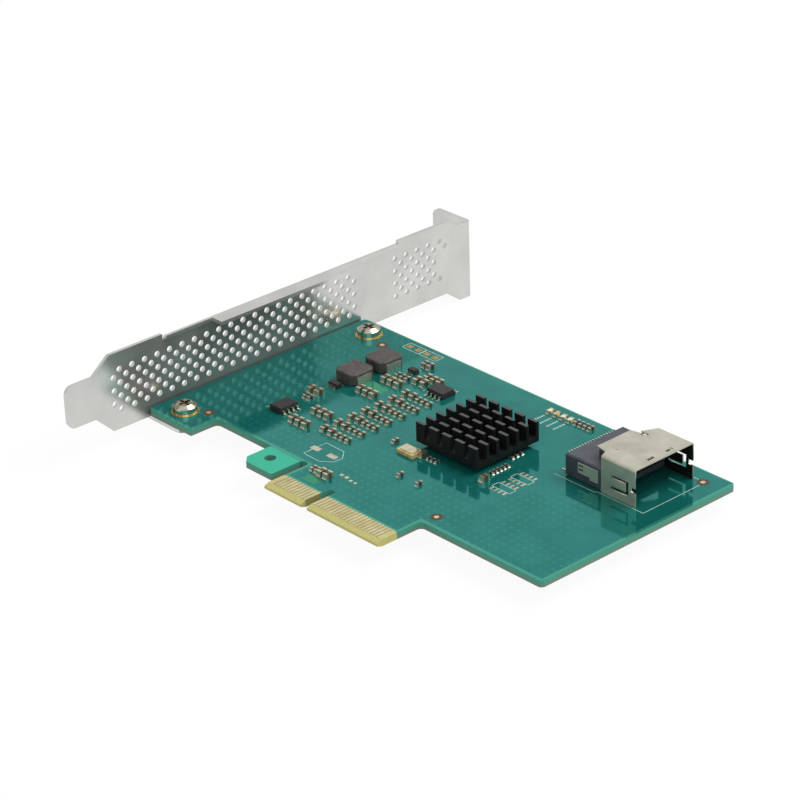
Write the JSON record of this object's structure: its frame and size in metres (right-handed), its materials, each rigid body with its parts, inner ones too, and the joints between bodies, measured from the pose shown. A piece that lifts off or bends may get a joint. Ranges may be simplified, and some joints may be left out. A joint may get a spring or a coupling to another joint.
{
  "type": "pcie adapter card",
  "caption": "Low-height adapter card on a full-height perforated bracket, with a card-edge connector, a finned heat sink and an internal cable socket.",
  "frame": {"origin": "centre of the key notch on the bottom line of the card edge, half way through the board", "axes": "+X along the card edge away from the bracket, +Y away from the edge contacts, +Z out of the component side"},
  "size_m": [0.128, 0.12, 0.0215],
  "materials": {
    "plated_steel": "bright zinc-plated sheet, polished",
    "solder_mask": "glossy teal-green solder mask over glass-fibre laminate",
    "gold": "gold plated copper",
    "screw_steel": "plated steel",
    "black_anodised": "black anodised",
    "thermal_compound": "matt",
    "moulding_compound": "fine matt",
    "ferrite_moulding": "pressed iron powder, matt",
    "tinned_metal": "tinned",
    "ceramic_brown": "ceramic, satin",
    "resistor_black": "glazed, satin",
    "led_lens": "translucent resin",
    "ceramic_cream": "ceramic, satin",
    "lid_metal": "bright plated lid",
    "shell_metal": "satin plated sheet",
    "housing_plastic": "satin high-temperature plastic"
  },
  "bodies": {
    "root": {"circuit_board": "solder_mask", "contacts_component_side": "gold", "contacts_solder_side": "gold", "bracket": "plated_steel", "bracket_screws": "screw_steel", "screw_lands": "gold", "controller_chip": "moulding_compound", "thermal_pad": "thermal_compound", "heat_sink": "black_anodised", "power_inductors": "ferrite_moulding", "inductor_terminals": "tinned_metal", "eight_lead_chips": "moulding_compound", "eight_lead_chip_leads": "tinned_metal", "small_leaded_chips": "moulding_compound", "small_chip_leads": "tinned_metal", "capacitor_bodies": "ceramic_brown", "capacitor_ends": "tinned_metal", "resistor_bodies": "resistor_black", "resistor_ends": "tinned_metal", "status_leds": "led_lens", "status_led_ends": "tinned_metal", "crystal_base": "ceramic_cream", "crystal_lid": "lid_metal", "socket_shell": "shell_metal", "socket_housing": "housing_plastic", "socket_side_plates": "shell_metal", "socket_tails": "gold", "socket_contacts": "gold", "fiducials": "gold", "header_lands": "gold", "tinned_lands": "tinned_metal"}
  },
  "joints": []
}
